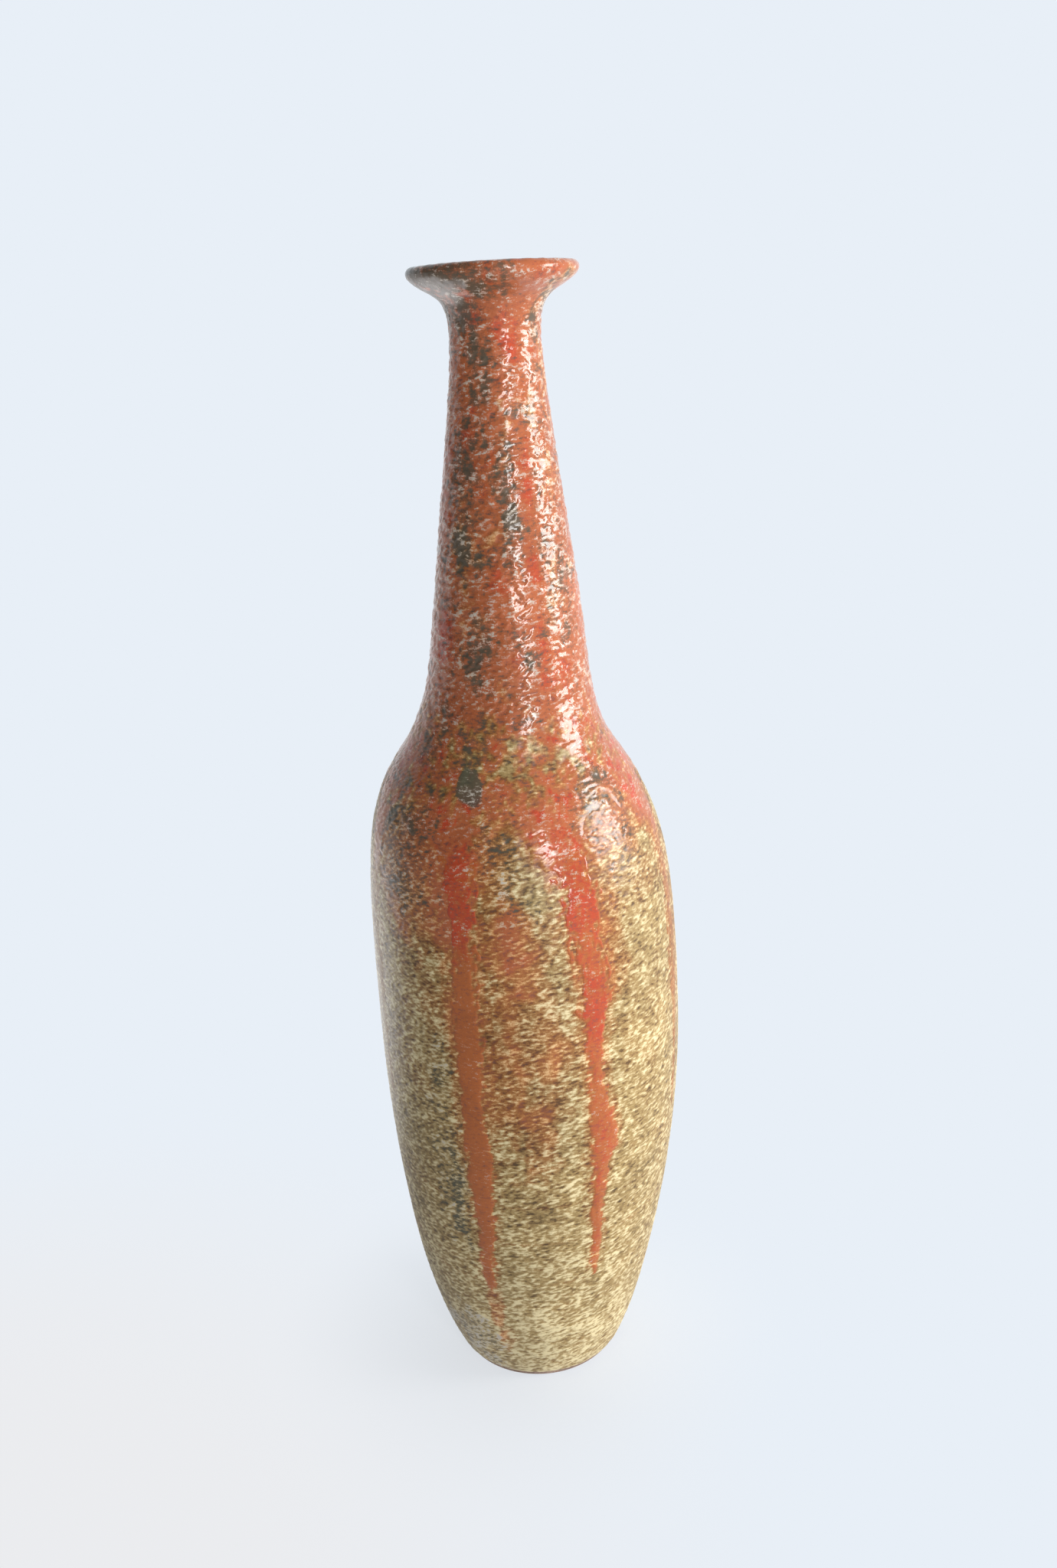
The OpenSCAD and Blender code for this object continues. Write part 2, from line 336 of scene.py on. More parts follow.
class Wall:
    """The clay's surface as one line of radius and height, with normals that point off
    the clay: up the outside from the glaze line, round the lip, and down the inside to
    the middle of the floor. along is the length up to each point of it, measured on the
    surface of the glazes, and crest is that length at the top of the lip."""

    def __init__(self, form, glaze):
        skin = glaze.base_t + glaze.coat_t
        half_lip = form.lip_wall / 2
        lip = np.array([form.lip_d / 2 - half_lip, form.top_z - skin - half_lip])
        flare = form.lip_flare
        foot = np.array([form.glaze_line_d / 2, form.glaze_line_h])
        belly = np.array([form.belly_d / 2, form.belly_h])
        shoulder = np.array([form.shoulder_d / 2, form.shoulder_z])
        root = np.array([form.root_d / 2, form.root_z])
        throat = np.array([form.throat_d / 2, form.throat_z])
        edge = lip + half_lip * np.array([np.sin(flare), -np.cos(flare)])
        upright = leaning(0.0)
        over = leaning(form.shoulder_lean)
        up_neck = leaning(form.neck_lean)
        outside = np.concatenate([
            stretch(foot, leaning(-form.foot_lean), belly, upright, (0.20, 0.37)),
            stretch(belly, upright, shoulder, over, (0.68, 0.25)),
            stretch(shoulder, over, root, up_neck, (0.37, 0.18)),
            stretch(root, up_neck, throat, upright, (0.50, 0.15)),
            stretch(throat, upright, edge, leaning(flare - np.pi / 2), (0.65, 0.33)),
        ])
        turn = np.linspace(flare - np.pi / 2, flare + np.pi / 2, LIP_STEPS)
        arc = lip + half_lip * np.stack([np.cos(turn), np.sin(turn)], 1)
        heights, walls = zip(
            (form.floor_z, form.low_wall), (form.belly_h, form.belly_wall),
            (form.root_z, form.root_wall), (form.throat_z, form.throat_wall),
            (lip[1] - 2 * half_lip, form.lip_wall))
        above = outside[:, 1] >= form.floor_z + form.well_h
        thick = np.interp(outside[:, 1], heights, walls)[:, None]
        inner = (outside - thick * self.normals(outside))[above]
        rise = inner[1] - inner[0]
        floor = stretch(
            np.array([0.0, form.floor_z]), np.array([1.0, 0.0]), inner[0],
            rise / np.linalg.norm(rise), (0.60, 0.50))
        self.line = np.concatenate([outside, arc, inner[::-1], floor[::-1]])
        self.normal = self.normals(self.line)
        moved = self.line + skin * self.normal
        steps = np.linalg.norm(np.diff(moved, axis=0), axis=1)
        self.along = np.concatenate([[0.0], np.cumsum(steps)])
        self.top = len(outside) + int(arc[:, 1].argmax())
        self.crest = self.along[self.top]
        self.end = self.along[-1]

    @staticmethod
    def normals(line):
        """Unit normals on the right hand of a line of points."""
        way = np.gradient(line, axis=0)
        way /= np.linalg.norm(way, axis=1)[:, None]
        return np.stack([way[:, 1], -way[:, 0]], 1)

    def outside_at(self, height):
        """Length along the line where the outside has this height."""
        return np.interp(height, self.line[: self.top, 1], self.along[: self.top])

    def inside_at(self, height):
        """Length along the line where the inside has this height."""
        return np.interp(-height, -self.line[self.top:, 1], self.along[self.top:])

    def at(self, along):
        """Radius, height and the two parts of the normal at lengths along the line."""
        columns = (self.line[:, 0], self.line[:, 1], self.normal[:, 0], self.normal[:, 1])
        return [np.interp(along, self.along, c) for c in columns]


def thrown(form, radius, height, phi):
    """Point of the pot for a radius, a height and an azimuth phi, which turns from the
    front (-Y) towards +X: (c + r sin phi, -r cos phi, z + lift). c is the wander of the
    axis, r has a faint second harmonic, and lift is three harmonics that warp the lip."""
    share = height / form.top_z
    centre = MM * smooth_curve(share, WANDER_SHARES, WANDER_MM)
    r = radius + form.out_of_round * np.cos(2 * phi + 0.7) * np.minimum(radius * 20, 1.0)
    near_lip = smoothstep(form.throat_z, form.top_z, height)
    warp = 0.78 + 1.30 * np.cos(phi) + 0.30 * np.sin(phi)
    warp = warp + 0.55 * np.cos(2 * phi) - 0.12 * np.cos(3 * phi)
    lift = form.lip_wave * near_lip * warp
    return np.stack([centre + r * np.sin(phi), -r * np.cos(phi), height + lift], -1)


def axis_point(form, height):
    """Point of the pot's axis at a height."""
    return thrown(form, np.zeros(1), np.array([height]), np.zeros(1))[0]


SHADER_FIELDS = ("relief", "orange", "dark", "pool")
WRINKLE = Noise(11)
WRINKLE_FINE = Noise(12)
MOTTLE = Noise(13)
STREAK = Noise(14)
DRIFT = Noise(15)


def wrinkles(glaze, points):
    """Height of the wrinkles from 0 in the pits to 1 on the crests: two octaves of noise
    drawn out round the pot and tilted, taller on the neck, pushed to the ends by tanh."""
    w, h = glaze.wrinkle_w, glaze.wrinkle_h
    x, y, z = points[..., 0], points[..., 1], points[..., 2]
    level = z - glaze.wrinkle_tilt * x + glaze.wrinkle_dip * y
    domain = np.stack([x / w, y / w, level / h], -1)
    domain = domain + 0.4 * DRIFT(domain * 0.37)[..., None]
    neck = smoothstep(0.236, 0.262, z)
    body = WRINKLE(domain) + 0.55 * WRINKLE_FINE(domain * (1.9, 1.9, 1.6))
    dashes = WRINKLE(domain * (0.95, 0.95, 0.64) + 5.5)
    dashes = 1.3 * dashes + 0.26 * WRINKLE_FINE(domain * (2.2, 2.2, 1.4))
    height = body + neck * (dashes - body) + (0.4 - 0.2 * neck) * DRIFT(domain * 0.31)
    return 0.5 + 0.5 * np.tanh(1.35 * height)


def rings(form, points):
    """Throwing rings as an offset from about -1 to 1: noise drawn out round the pot, faint
    on the body, full on the neck, and gone at the lip."""
    z = points[..., 2]
    mask = 0.12 + 0.88 * smoothstep(0.228, 0.262, z)
    mask = mask * smoothstep(form.top_z - 6 * MM, form.top_z - 16 * MM, z)
    return mask * STREAK(points / MM * (0.10, 0.10, 0.47) + 3.7)


def degrees_off(deg, azimuth):
    """Degrees from an azimuth, between -180 and 180."""
    return (deg - azimuth + 180.0) % 360.0 - 180.0


def patches(phi_deg, height_mm, ragged, table):
    """Sum of soft spots: each adds its amount inside an ellipse of azimuth and height,
    whose edge is pushed in and out by the noise in ragged."""
    total = np.zeros(np.broadcast(phi_deg, height_mm).shape)
    for azimuth, middle, half_phi, half_h, amount in table:
        off = degrees_off(phi_deg, azimuth)
        reach = np.hypot(off / half_phi, (height_mm - middle) / half_h) + 0.45 * ragged
        total += amount * smoothstep(1.25, 0.55, reach)
    return total


def run_course(name):
    """Heights, azimuths and half widths of a run, from its tip up."""
    if name == "run_1":
        course = FRONT_LEFT_RUN
    elif name == "run_2":
        course = FRONT_RIGHT_RUN
    else:
        azimuth, tip, half = OTHER_RUNS[name]
        drop = RUN_TOP - tip
        shape = ((0, 1.5), (0.12, 1.1), (0.3, 1.0), (0.52, 1.06), (0.68, 0.8),
                 (0.86, 0.62), (0.96, 0.5), (1, 0.15))
        turn = 0.9 if azimuth > 0 else -1.1
        course = [(RUN_TOP - s * drop, azimuth + turn * np.sin(5 * s), half * w)
                  for s, w in shape]
    return np.array(course, float)[::-1]


def run_field(name, phi_deg, height_mm, radius_mm, ragged):
    """Distance in millimetres inside the edge of a run, negative outside it."""
    course = run_course(name)
    centre = smooth_curve(height_mm, course[:, 0], course[:, 1])
    half = smooth_curve(height_mm, course[:, 0], course[:, 2])
    off = np.radians(degrees_off(phi_deg, centre)) * radius_mm
    inside = half - np.abs(off) + ragged
    below = height_mm - course[0, 0] + 0.5
    return np.where(below < 0, below * 2 - 1, inside)


def nearest_run(deg, up, r, ragged):
    """Distance in millimetres inside the edge of the nearest run, how solidly that run
    covers, and how near a run's azimuth is, which falls off as a bell."""
    near = np.zeros(np.broadcast(deg, up).shape)
    distance = np.full(near.shape, -9.0)
    strength = np.full(near.shape, USUAL_STRENGTH)
    for name in RUN_NODES:
        off = degrees_off(deg, run_course(name)[-1, 1])
        near += np.exp(-((off / 12.0) ** 2))
        inside = run_field(name, deg, up, r, ragged)
        solid = RUN_STRENGTH.get(name, USUAL_STRENGTH)
        strength = np.where(inside > distance, solid, strength)
        distance = np.maximum(distance, inside)
    return distance, strength, np.minimum(near, 1.0)


def glaze_fields(form, glaze, phi, height, radius, points):
    """Everything that the glazes do at each point, as arrays from about 0 to 1: height,
    the wrinkles, and relief, the same as the colours follow it, with paler crests painted
    on the lit right side; ring, the throwing rings; orange, how solidly the poured glaze
    covers; dark, where it turned moss green, and painted shade on the left side and by the
    left of the foot; cover, its thickness on the neck and shoulder; pool, where it lies
    smooth; run, the distance in millimetres inside the edge of a run, and strength, how
    solid it is."""
    deg, up = np.degrees(phi), height / MM
    r = radius / MM
    p = points / MM
    relief = wrinkles(glaze, points)
    ring = rings(form, points)
    ragged = MOTTLE(p * (0.16, 0.16, 0.11))
    broad = STREAK(p * (0.085, 0.085, 0.045) + 7.3)
    small = DRIFT(p * (0.28, 0.28, 0.20) + 3.1)
    torn = MOTTLE(p * (0.62, 0.62, 0.34) + 11.3)

    # Runs, and the edge of the poured glaze, which hangs down to them
    rough = 0.45 + 1.2 * smoothstep(140.0, 190.0, up)
    jitter = (1.3 * small + 2.0 * torn) * rough + 1.6 * (0.5 - relief)
    run_cover, strength, dips = nearest_run(deg, up, r, 1.2 * ragged + jitter)
    edge = glaze.coat_z / MM + 15.0 - 15.0 * dips + 5.0 * ragged
    coat = smoothstep(9.0, -15.0, edge - up + 3.0 * small)

    # How solidly the poured glaze covers: the coat, a wash on the body, and the runs
    mottle = 0.89 + 0.25 * broad + 0.16 * ragged + 0.14 * small + 0.10 * ring
    mottle = mottle + patches(deg, up, ragged, COVER_SPOTS)
    shoulder = smoothstep(222.0, 236.0, up) * smoothstep(268.0, 256.0, up)
    mottle = mottle - shoulder * (0.10 - 0.45 * small - 0.40 * torn)
    front = 0.5 + 0.5 * np.cos(phi + 0.1)
    wash = (0.03 + 0.23 * front**6 * smoothstep(95.0, 190.0, up)) * (1.0 + 1.2 * broad)
    wash = wash + 0.07 * ragged + patches(deg, up, ragged + 0.6 * small, WASH_SPOTS)
    wash = wash + 0.20 * smoothstep(-5.0, 0.0, run_cover) * strength
    run = smoothstep(-0.8, 1.9, run_cover) * smoothstep(250.0, 226.0, up)
    solid = strength + 0.10 * smoothstep(178.0, 204.0, up)
    solid = solid + patches(deg, up, ragged + small, RUN_SPOTS)
    run = run * solid * (1.0 + 0.1 * (small + torn))
    orange = coat * mottle + (1.0 - coat) * np.maximum(wash, 0.0)
    orange = np.maximum(orange, run)

    # Where it turned moss green, and one grey spot on the left of the shoulder. The moss green
    # on the left side of the pot is partly real olive and partly painted shade
    clouds = smoothstep(0.0, 0.7, STREAK(p * (0.09, 0.09, 0.14) + 31.7))
    dark = 0.04 + 0.07 * coat + 0.22 * clouds * coat
    # Painted shade: more moss green on the left side, which the windows leave in shade
    dark += 0.11 * smoothstep(0.2, -0.8, np.sin(phi)) * coat
    dark += 0.10 * small + 0.22 * torn * coat
    dark = dark * smoothstep(200.0, 232.0, up) + patches(deg, up, ragged + small, MOSS_AND_SHADE_SPOTS)
    dark = dark * (1.0 - 0.8 * np.clip(run, 0.0, 1.0))
    off = degrees_off(deg, -19.5)
    spot = np.hypot(off / 7.2, (up - 242.5 + 0.2 * off) / 5.6)
    spot = smoothstep(1.15, 0.75, spot + 0.25 * small)
    dark = dark + (1.0 - dark) * spot

    # Where a glaze lies so thick that it fills the wrinkles
    thick = smoothstep(-0.3, 2.2, run_cover) * (1.0 - 0.75 * smoothstep(180.0, 212.0, up))
    thick = thick * smoothstep(238.0, 222.0, up)
    pool = np.maximum(np.maximum(0.3 * smoothstep(0.85, 1.1, orange), spot), thick)

    # The wrinkles as the surface has them, and then as the colours follow them
    height = relief + (0.55 - relief) * 0.6 * pool
    height = 0.5 + (height - 0.5) * (0.78 + 0.22 * smoothstep(215.0, 240.0, up))
    lip = smoothstep(384.0, 391.0, up)
    height = 0.5 + (height - 0.5) * (1.0 - 0.6 * lip - 0.35 * shoulder)
    # Painted light: the crests are made paler and calmer on the right, the side the windows
    # light
    right = smoothstep(22.0, 44.0, deg) * smoothstep(96.0, 80.0, deg)
    calm = 0.20 * coat + 0.4 * lip + 0.22 * right + 0.15 * shoulder
    relief = 0.5 + (relief - 0.5) * (1.0 - np.minimum(calm, 0.5))
    relief = relief + (0.03 + 0.09 * right) * coat
    relief = relief + (0.40 - relief) * 0.8 * pool * (1 - spot) + (0.68 - relief) * 0.8 * spot
    relief = relief + 0.22 * smoothstep(95.0, 15.0, up) * (0.2 + 0.8 * front)
    relief = relief - 0.14 * shoulder * smoothstep(0.9, 0.4, orange)
    return {
        "relief": relief, "height": height, "ring": ring, "cover": coat, "run": run_cover,
        "orange": np.clip(orange, 0.0, 1.3), "dark": np.clip(dark, 0.0, 1.1),
        "strength": strength, "pool": np.clip(pool, 0.0, 1.0),
    }


def grid_normals(grid):
    """Unit normals of a grid whose columns go round the pot and whose rows go up it:
    the cross product of the central differences, column way first."""
    around = np.roll(grid, -1, axis=1) - np.roll(grid, 1, axis=1)
    up = np.gradient(grid, axis=0)
    normal = np.cross(around, up)
    return normal / np.maximum(np.linalg.norm(normal, axis=2, keepdims=True), 1e-12)


def surface(name, grid, material, wrap=True, poles=(None, None), fields=None, normals=None):
    """Mesh of a grid of rows and columns. Columns always close on themselves. Rows close
    on themselves too, or end in pole points. fields are float attributes by name, and
    normals are those of the grid's points, where the mesh's own would show an edge."""
    rows, cols = grid.shape[:2]
    index = np.arange(rows * cols).reshape(rows, cols)
    nxt = np.roll(index, -1, axis=1)
    if wrap:
        low, high = index, np.roll(index, -1, axis=0)
        low_next, high_next = nxt, np.roll(nxt, -1, axis=0)
    else:
        low, high, low_next, high_next = index[:-1], index[1:], nxt[:-1], nxt[1:]
    quads = np.stack([low, low_next, high_next, high], -1).reshape(-1, 4)
    points = [grid.reshape(-1, 3)]
    corners, sizes = [quads.ravel()], [np.full(len(quads), 4)]
    for end, pole in enumerate(poles):
        if pole is None:
            continue
        tip = np.full(cols, sum(len(p) for p in points))
        points.append(np.asarray(pole, float).reshape(1, 3))
        ring, ring_next = (index[0], nxt[0]) if end == 0 else (index[-1], nxt[-1])
        fan = (tip, ring_next, ring) if end == 0 else (ring, ring_next, tip)
        corners.append(np.stack(fan, -1).ravel())
        sizes.append(np.full(cols, 3))
    points, corners, sizes = (np.concatenate(a) for a in (points, corners, sizes))
    mesh = bpy.data.meshes.new(name)
    mesh.vertices.add(len(points))
    mesh.vertices.foreach_set("co", points.astype(np.float32).ravel())
    mesh.loops.add(len(corners))
    mesh.loops.foreach_set("vertex_index", corners.astype(np.int32))
    mesh.polygons.add(len(sizes))
    mesh.polygons.foreach_set("loop_start", (np.cumsum(sizes) - sizes).astype(np.int32))
    for key, values in (fields or {}).items():
        layer = mesh.attributes.new(key, "FLOAT", "POINT")
        padded = np.zeros(len(points), np.float32)
        padded[: values.size] = values.ravel()
        layer.data.foreach_set("value", padded)
    mesh.update(calc_edges=True)
    mesh.shade_smooth()
    if normals is not None:
        mesh.normals_split_custom_set_from_vertices(normals.reshape(-1, 3))
    mesh.materials.append(material)
    piece = bpy.data.objects.new(name, mesh)
    bpy.context.scene.collection.objects.link(piece)
    return piece


def place(piece, slot_name, *nodes):
    """The piece rides on the pot's one body and stands for the CAD nodes whose skin
    it is, which it hides. slot_name is not used."""
    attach(piece, BODY)
    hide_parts(*nodes)


def skin_grid(form, wall, along, phi, depth):
    """Points of a skin: the wall's line at lengths along, moved off by depth, turned."""
    r, z, nr, nz = (a[:, None] for a in wall.at(along))
    return thrown(form, r + nr * depth, z + nz * depth, phi[None, :])


def glazed_grid(form, glaze, wall, along, cols):
    """Azimuths of the columns, and the fields of the glazes by rows and columns."""
    phi = np.linspace(0.0, 2 * np.pi, cols, endpoint=False)
    r, z, nr, nz = (a[:, None] for a in wall.at(along))
    radius = r + nr * glaze.base_t + 0 * phi[None, :]
    height = z + nz * glaze.base_t + 0 * phi[None, :]
    around = np.broadcast_to(phi[None, :], radius.shape)
    points = thrown(form, radius, height, around)
    return phi, glaze_fields(form, glaze, around, height, radius, points)


def shader_fields(fields, rows=slice(None), head=0, tail=0):
    """The fields that the materials read, on some rows of a grid, with the first row
    repeated before them and the last one after them."""
    kept = {}
    for key in SHADER_FIELDS:
        some = fields[key][rows]
        before = np.repeat(some[:1], head, axis=0)
        after = np.repeat(some[-1:], tail, axis=0)
        kept[key] = np.concatenate([before, some, after])
    return kept


def banded_skin(parts, form, wall, material, along, phi, depth, floor_depth, fields):
    """Closed skins that meet edge to edge and split one grid between them. Each has its
    stretch of the outer grid, then a way back along the wall under it in the given
    number of rows, and takes the normals of the whole grid, so no edge shows."""
    outer = skin_grid(form, wall, along, phi, depth)
    normals = grid_normals(outer)
    cuts = np.linspace(0, len(along) - 1, len(parts) + 1).astype(int)
    pieces = []
    for (name, rows), low, high in zip(parts.items(), cuts[:-1], cuts[1:]):
        some = slice(low, high + 1)
        way_back = np.linspace(along[high], along[low], rows)
        back = skin_grid(form, wall, way_back, phi, np.full((rows, 1), floor_depth))
        kept = shader_fields(fields, some, tail=rows)
        bent = np.concatenate([normals[some], grid_normals(back)])
        grid = np.concatenate([outer[some], back])
        pieces.append(surface(name, grid, material, fields=kept, normals=bent))
    return pieces


def turned_piece(name, form, section, material, cols, start_pole=None, end_pole=None):
    """Turned solid of clay: a line of radius and height, closed or ending on the axis."""
    phi = np.linspace(0.0, 2 * np.pi, cols, endpoint=False)
    grid = thrown(form, section[:, :1], section[:, 1:], phi[None, :])
    poles = [None if p is None else axis_point(form, p) for p in (start_pole, end_pole)]
    return surface(name, grid, material, wrap=start_pole is None, poles=poles)


def new_group(name, inputs, outputs):
    """Node group with its sockets, its input node and its output node."""
    group = bpy.data.node_groups.new(name, "ShaderNodeTree")
    for label, kind in inputs:
        group.interface.new_socket(label, in_out="INPUT", socket_type=kind)
    for label, kind in outputs:
        group.interface.new_socket(label, in_out="OUTPUT", socket_type=kind)
    return group, group.nodes.new("NodeGroupInput"), group.nodes.new("NodeGroupOutput")


def put(tree, kind, settings=None, **sockets):
    """New node with its settings and its inputs, each a value or another socket."""
    node = tree.nodes.new(kind)
    for key, value in (settings or {}).items():
        setattr(node, key, value)
    for key, value in sockets.items():
        socket = node.inputs[int(key[1:]) if key[1:].isdigit() else key.replace("_", " ")]
        if isinstance(value, bpy.types.NodeSocket):
            tree.links.new(value, socket)
        else:
            socket.default_value = value
    return node


def calc(tree, operation, a, b, c=0.0):
    """Math node on two or three values or sockets."""
    return put(tree, "ShaderNodeMath", {"operation": operation}, i0=a, i1=b, i2=c).outputs[0]


def mad(tree, a, b, c):
    """a times b plus c."""
    return calc(tree, "MULTIPLY_ADD", a, b, c)


def ease(tree, value, low, high):
    """Smooth step of a value from low to high."""
    settings = {"interpolation_type": "SMOOTHSTEP"}
    return put(tree, "ShaderNodeMapRange", settings, Value=value, From_Min=low,
               From_Max=high).outputs[0]


def blend(tree, share, a, b, way="MIX"):
    """Mix of two colours, or another way to blend them."""
    settings = {"data_type": "RGBA", "blend_type": way}
    return put(tree, "ShaderNodeMix", settings, i0=share, i6=a, i7=b).outputs[2]


def grain(tree, where, scale, detail=2.0):
    """Noise around zero, with scale in features per metre."""
    node = put(tree, "ShaderNodeTexNoise", Vector=where, Scale=scale, Detail=detail)
    return calc(tree, "SUBTRACT", node.outputs["Fac"], 0.5)


def new_material(name):
    """Material, its node tree, its shader and the object's own coordinates."""
    material = bpy.data.materials.new(name)
    material.use_nodes = True
    tree = material.node_tree
    where = tree.nodes.new("ShaderNodeTexCoord").outputs["Object"]
    return material, tree, tree.nodes["Principled BSDF"], where


def dress(tree, shader, tone, roughness, height, depth, strength=1.0):
    """Give the shader its colour, its roughness and a bump that is depth high."""
    bump = put(tree, "ShaderNodeBump", Strength=strength, Distance=depth, Height=height)
    tree.links.new(tone, shader.inputs["Base Color"])
    tree.links.new(roughness, shader.inputs["Roughness"])
    tree.links.new(bump.outputs[0], shader.inputs["Normal"])


# Inputs of the glazes' node group, with the fields and the colours that they take
FIELD_SOCKETS = {"Relief": "relief", "Cover": "orange", "Dark": "dark", "Pool": "pool"}
COLOUR_SOCKETS = ("Pit", "Ground", "Crest", "Wash", "Ember", "Orange", "Scarlet", "Flame",
                  "Moss", "Lichen")


def glaze_group():
    """Colour, roughness and fine height of the two glazes where they meet. The poured
    glaze fills the pits first, so its share is its cover, more in the pits and less on
    the crests, and so is the moss green."""
    if "two_glazes" in bpy.data.node_groups:
        return bpy.data.node_groups["two_glazes"]
    inputs = [("Where", "NodeSocketVector")]
    inputs += [(label, "NodeSocketFloat") for label in FIELD_SOCKETS]
    inputs += [(label, "NodeSocketColor") for label in COLOUR_SOCKETS]
    outputs = [("Color", "NodeSocketColor"), ("Gloss", "NodeSocketFloat"),
               ("Height", "NodeSocketFloat")]
    group, given, result = new_group("two_glazes", inputs, outputs)
    get = given.outputs
    drawn = put(group, "ShaderNodeMapping", Vector=get["Where"],
                Rotation=(0.30, 0.22, 0.0), Scale=(0.40, 0.40, 1.0)).outputs[0]
    speck = grain(group, drawn, 1250.0)
    fleck = grain(group, get["Where"], 2200.0)
    cluster = grain(group, get["Where"], 120.0)
    cloud = grain(group, get["Where"], 42.0, 3.0)
    level = mad(group, get["Relief"], 0.84, 0.08)
    level = mad(group, speck, 1.35, level)
    weight = mad(group, get["Cover"], 0.5, 0.40)
    level = mad(group, fleck, weight, level)
    level = mad(group, cluster, 0.45, level)
    tone = blend(group, ease(group, level, -0.05, 0.50), get["Pit"], get["Ground"])
    tone = blend(group, ease(group, level, 0.42, 1.02), tone, get["Crest"])
    low = calc(group, "SUBTRACT", 0.5, level)
    share = mad(group, low, 0.36, get["Cover"])
    share = mad(group, cloud, 0.25, share)
    stained = blend(group, 1.0, tone, get["Wash"], "MULTIPLY")
    tone = blend(group, ease(group, share, 0.05, 0.50), tone, stained)
    ripe = blend(group, ease(group, share, 0.98, 1.30), get["Orange"], get["Scarlet"])
    warm = blend(group, ease(group, level, -0.15, 0.45), get["Ember"], ripe)
    # Pale flame crests: partly real colour, partly painted highlight
    warm = blend(group, ease(group, level, 0.60, 1.02), warm, get["Flame"])
    tone = blend(group, ease(group, share, 0.38, 0.80), tone, warm)
    share = mad(group, low, 0.60, get["Dark"])
    share = mad(group, cluster, 0.30, share)
    green = blend(group, ease(group, level, 0.60, 1.00), get["Moss"], get["Lichen"])
    share = calc(group, "MULTIPLY", ease(group, share, 0.22, 0.70), 0.85)
    tone = blend(group, share, tone, green)
    # Pale grey green crests where the glaze turned dark: partly real, partly painted glints
    pale = calc(group, "MULTIPLY", ease(group, level, 0.68, 1.04),
                ease(group, get["Dark"], 0.08, 0.34))
    tone = blend(group, pale, tone, get["Lichen"])
    shade = mad(group, cloud, 0.40, 1.0)
    shade = mad(group, cluster, 0.25, shade)
    grey = put(group, "ShaderNodeCombineColor", Red=shade, Green=shade, Blue=shade)
    tone = blend(group, 1.0, tone, grey.outputs[0], "MULTIPLY")
    group.links.new(tone, result.inputs["Color"])
    glassy = calc(group, "MAXIMUM", get["Cover"], calc(group, "MULTIPLY", get["Dark"], 1.6))
    gloss = mad(group, ease(group, glassy, 0.25, 0.90), -0.29, 0.41)
    gloss = mad(group, get["Pool"], 0.06, gloss)
    gloss = mad(group, ease(group, get["Dark"], 0.45, 0.90), 0.12, gloss)
    group.links.new(gloss, result.inputs["Gloss"])
    fine = mad(group, fleck, 0.2, speck)
    group.links.new(fine, result.inputs["Height"])
    return group


def glaze_material(name, glaze, pebble, orange=None):
    """Glossy glaze over its relief, coloured by the fields on the mesh. pebble is how
    deep its finest bumps are, and orange the poured glaze's colour if not the usual."""
    material, tree, shader, where = new_material(name)
    group = tree.nodes.new("ShaderNodeGroup")
    group.node_tree = glaze_group()
    tree.links.new(where, group.inputs["Where"])
    for label, field in FIELD_SOCKETS.items():
        reader = put(tree, "ShaderNodeAttribute", {"attribute_name": field})
        tree.links.new(reader.outputs["Fac"], group.inputs[label])
    for label in COLOUR_SOCKETS:
        group.inputs[label].default_value = (*getattr(glaze, label.lower()), 1.0)
    if orange is not None:
        group.inputs["Orange"].default_value = (*orange, 1.0)
    tone, roughness, height = (group.outputs[key] for key in ("Color", "Gloss", "Height"))
    dress(tree, shader, tone, roughness, height, pebble)
    shader.inputs["IOR"].default_value = 1.5
    return material


def clay_material(name, buff):
    """Bare fired clay: buff with darker grog, faint iron specks and a sandy bump."""
    material, tree, shader, where = new_material(name)
    sand = grain(tree, where, 1400.0, 4.0)
    cloud = grain(tree, where, 60.0, 2.0)
    grog = (*(0.55 * c for c in buff), 1.0)
    share = ease(tree, calc(tree, "ADD", sand, cloud), -0.25, 0.3)
    tone = blend(tree, share, grog, (*buff, 1.0))
    speck = put(tree, "ShaderNodeTexVoronoi", Vector=where, Scale=420.0)
    iron = ease(tree, speck.outputs["Distance"], 0.16, 0.10)
    tone = blend(tree, calc(tree, "MULTIPLY", iron, 0.6), tone, (0.06, 0.03, 0.02, 1.0))
    dress(tree, shader, tone, mad(tree, sand, 0.2, 0.78), sand, 0.10 * MM, 0.6)
    return material


def pot(context):
    """Sizes of the clay, the glazes, and the wall that they give."""
    form, glaze = context.scene.vase_form, context.scene.vase_glaze
    return form, glaze, Wall(form, glaze)


